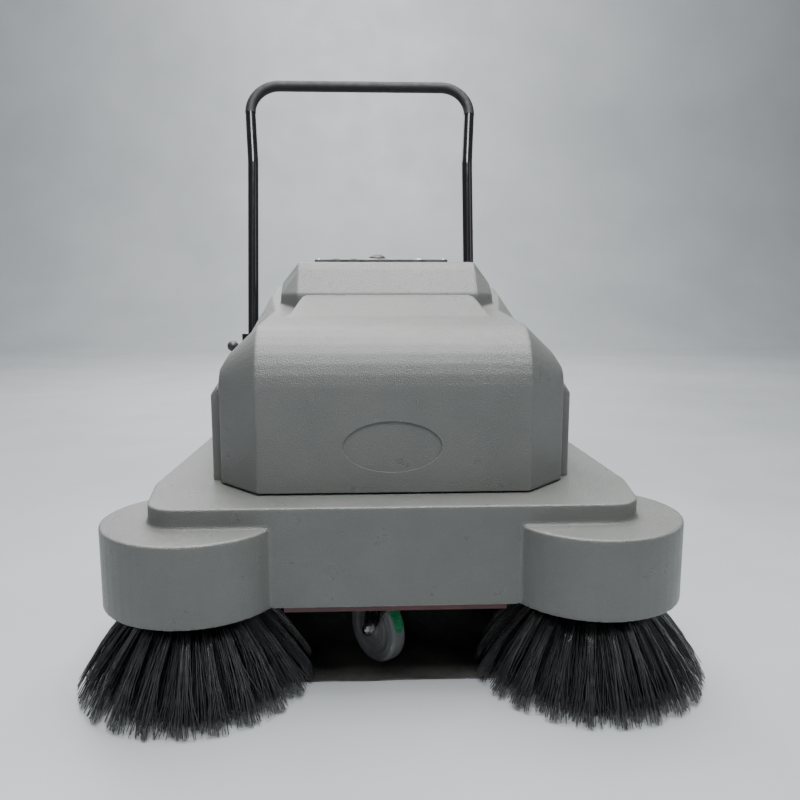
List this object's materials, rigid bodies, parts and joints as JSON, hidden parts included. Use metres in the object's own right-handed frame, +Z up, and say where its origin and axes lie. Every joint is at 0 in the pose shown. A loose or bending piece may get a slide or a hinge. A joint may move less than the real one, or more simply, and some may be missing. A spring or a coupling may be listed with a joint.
{
  "type": "walk behind sweeper",
  "caption": "Battery walk behind sweeper with side brushes in round guards, a main brush, a rear dust bin, a tilting hood and a tubular push handle.",
  "frame": {"origin": "centre of the footprint, on the floor", "axes": "+X to the right seen from the front, +Y from the side brushes back to the push handle, +Z up"},
  "size_m": [1.0804, 1.1515, 1.2029],
  "materials": {
    "grey_cover": "moulded, satin",
    "black_paint": "gloss powder coat",
    "black_plastic": "satin",
    "red_frame": "gloss paint",
    "zinc": "bright zinc plate",
    "grey_tyre": "satin",
    "black_rubber": "matte",
    "black_bristle": "drawn filament",
    "battery_case": "satin",
    "motor_paint": "satin enamel",
    "filter_paper": "pleated paper",
    "clear_lens": "clear gloss"
  },
  "bodies": {
    "chassis": {"main_frame": "red_frame", "deck_cover": "grey_cover", "rear_cover": "grey_cover", "hinge_leaf_rear": "zinc", "hinge_pin": "zinc", "handle_bracket_left": "black_paint", "handle_bracket_right": "black_paint", "lever_mount": "zinc", "caster_plate": "zinc", "front_flap": "black_rubber", "rear_flap": "black_rubber", "left_flap": "black_rubber", "right_flap": "black_rubber", "arm_pin_left": "zinc", "arm_pin_right": "zinc", "drive_belt": "black_rubber", "main_motor": "motor_paint", "main_bearing_left": "zinc", "main_bearing_right": "zinc", "panel_filter": "filter_paper", "fan_housing": "black_plastic", "battery_front": "battery_case", "battery_rear": "battery_case", "wheel_axle_left": "zinc", "wheel_axle_right": "zinc", "control_panel": "black_plastic", "battery_meter": "clear_lens", "charge_socket": "black_plastic"},
    "hood": {"front_hood": "grey_cover", "hinge_leaf_front": "zinc"},
    "stay": {"hood_stay": "zinc"},
    "caster_swivel": {"caster_fork": "zinc", "caster_axle": "zinc"},
    "caster_roller": {"caster_wheel": "grey_tyre"},
    "arm_left": {"brush_arm_left": "red_frame", "side_motor_left": "motor_paint"},
    "arm_right": {"brush_arm_right": "red_frame", "side_motor_right": "motor_paint"},
    "brush_left": {"brush_disc_left": "black_plastic", "side_bristles_left": "black_bristle"},
    "brush_right": {"brush_disc_right": "black_plastic", "side_bristles_right": "black_bristle"},
    "main_brush": {"main_brush_core": "black_plastic", "main_brush_bristles": "black_bristle", "brush_pulley": "zinc"},
    "drive_pulley": {"motor_pulley": "zinc"},
    "impeller": {"fan_impeller": "black_plastic"},
    "wheel_left": {"rear_wheel_left": "black_rubber"},
    "wheel_right": {"rear_wheel_right": "black_rubber"},
    "dust_bin": {"hopper": "black_plastic", "hopper_handle": "black_paint"},
    "handle": {"push_handle": "black_paint"},
    "knob_left": {"handle_knob_left": "black_plastic"},
    "knob_right": {"handle_knob_right": "black_plastic"},
    "lever": {"lift_lever": "zinc", "lever_knob": "black_plastic"},
    "button": {"stop_button": "black_plastic"},
    "key": {"key_switch": "zinc"},
    "brush_switch": {"brush_rocker": "black_plastic"},
    "fan_switch": {"fan_rocker": "black_plastic"}
  },
  "joints": [
    {"name": "hood_hinge", "type": "hinge", "parent": "chassis", "child": "hood", "pos_m": [0, -0.01297, 0.646], "axis": [1, 0, 0], "range_deg": [-75, 0]},
    {"name": "stay_pivot", "type": "hinge", "parent": "chassis", "child": "stay", "pos_m": [0.2555, -0.27297, 0.3155], "axis": [1, 0, 0], "range_deg": [0, 68]},
    {"name": "caster_turn", "type": "hinge", "parent": "chassis", "child": "caster_swivel", "pos_m": [0, -0.35797, 0.148], "axis": [0, 0, 1], "continuous": true},
    {"name": "caster_spin", "type": "hinge", "parent": "caster_swivel", "child": "caster_roller", "pos_m": [-0.02894, -0.32093, 0.0648], "axis": [0.788, 0.6157, 0], "continuous": true},
    {"name": "lever_pull", "type": "hinge", "parent": "chassis", "child": "lever", "pos_m": [-0.27, 0.11203, 0.4], "axis": [1, 0, 0], "range_deg": [-25, 0]},
    {"name": "arm_lift_left", "type": "hinge", "parent": "chassis", "child": "arm_left", "pos_m": [-0.339, -0.21655, 0.1895], "axis": [1, 0, 0], "range_deg": [-8, 0]},
    {"name": "arm_lift_right", "type": "hinge", "parent": "chassis", "child": "arm_right", "pos_m": [0.339, -0.21655, 0.1895], "axis": [1, 0, 0], "range_deg": [-8, 0]},
    {"name": "side_spin_left", "type": "hinge", "parent": "arm_left", "child": "brush_left", "pos_m": [-0.339, -0.37447, 0.01005], "axis": [0, -0.046, 0.9989], "continuous": true},
    {"name": "side_spin_right", "type": "hinge", "parent": "arm_right", "child": "brush_right", "pos_m": [0.339, -0.37447, 0.01005], "axis": [0, -0.046, 0.9989], "continuous": true},
    {"name": "main_spin", "type": "hinge", "parent": "chassis", "child": "main_brush", "pos_m": [0, -0.04797, 0.128], "axis": [1, 0, 0], "continuous": true},
    {"name": "motor_spin", "type": "hinge", "parent": "chassis", "child": "drive_pulley", "pos_m": [-0.254, 0.05203, 0.36], "axis": [1, 0, 0], "continuous": true},
    {"name": "fan_spin", "type": "hinge", "parent": "chassis", "child": "impeller", "pos_m": [0, 0.22203, 0.375], "axis": [0, 0, 1], "continuous": true},
    {"name": "wheel_spin_left", "type": "hinge", "parent": "chassis", "child": "wheel_left", "pos_m": [-0.36, 0.21203, 0.125], "axis": [1, 0, 0], "continuous": true},
    {"name": "wheel_spin_right", "type": "hinge", "parent": "chassis", "child": "wheel_right", "pos_m": [0.36, 0.21203, 0.125], "axis": [1, 0, 0], "continuous": true},
    {"name": "bin_slide", "type": "slide", "parent": "chassis", "child": "dust_bin", "axis": [0, 1, 0], "range_m": [0, 0.3]},
    {"name": "handle_tilt", "type": "hinge", "parent": "chassis", "child": "handle", "pos_m": [-0.055, 0.38403, 0.46], "axis": [1, 0, 0], "range_deg": [-30, 6]},
    {"name": "knob_turn_left", "type": "hinge", "parent": "chassis", "child": "knob_left", "pos_m": [-0.336, 0.38403, 0.46], "axis": [-1, 0, 0], "range_deg": [0, 360]},
    {"name": "knob_turn_right", "type": "hinge", "parent": "chassis", "child": "knob_right", "pos_m": [0.226, 0.38403, 0.46], "axis": [1, 0, 0], "range_deg": [0, 360]},
    {"name": "button_press", "type": "slide", "parent": "chassis", "child": "button", "axis": [0, 0, -1], "range_m": [0, 0.003], "stiffness_N_per_m": 400, "springref_m": -0.002},
    {"name": "key_turn", "type": "hinge", "parent": "chassis", "child": "key", "pos_m": [0.08, 0.20703, 0.7275], "axis": [0, 0, 1], "range_deg": [0, 90]},
    {"name": "brush_switch_rock", "type": "hinge", "parent": "chassis", "child": "brush_switch", "pos_m": [-0.115, 0.25203, 0.7255], "axis": [1, 0, 0], "range_deg": [0, 12]},
    {"name": "fan_switch_rock", "type": "hinge", "parent": "chassis", "child": "fan_switch", "pos_m": [-0.072, 0.25203, 0.7255], "axis": [1, 0, 0], "range_deg": [0, 12]}
  ],
  "couplings": [
    {"joint": "arm_lift_left", "follows": "lever_pull", "ratio": 0.32},
    {"joint": "arm_lift_right", "follows": "lever_pull", "ratio": 0.32},
    {"joint": "motor_spin", "follows": "main_spin", "ratio": 2}
  ]
}
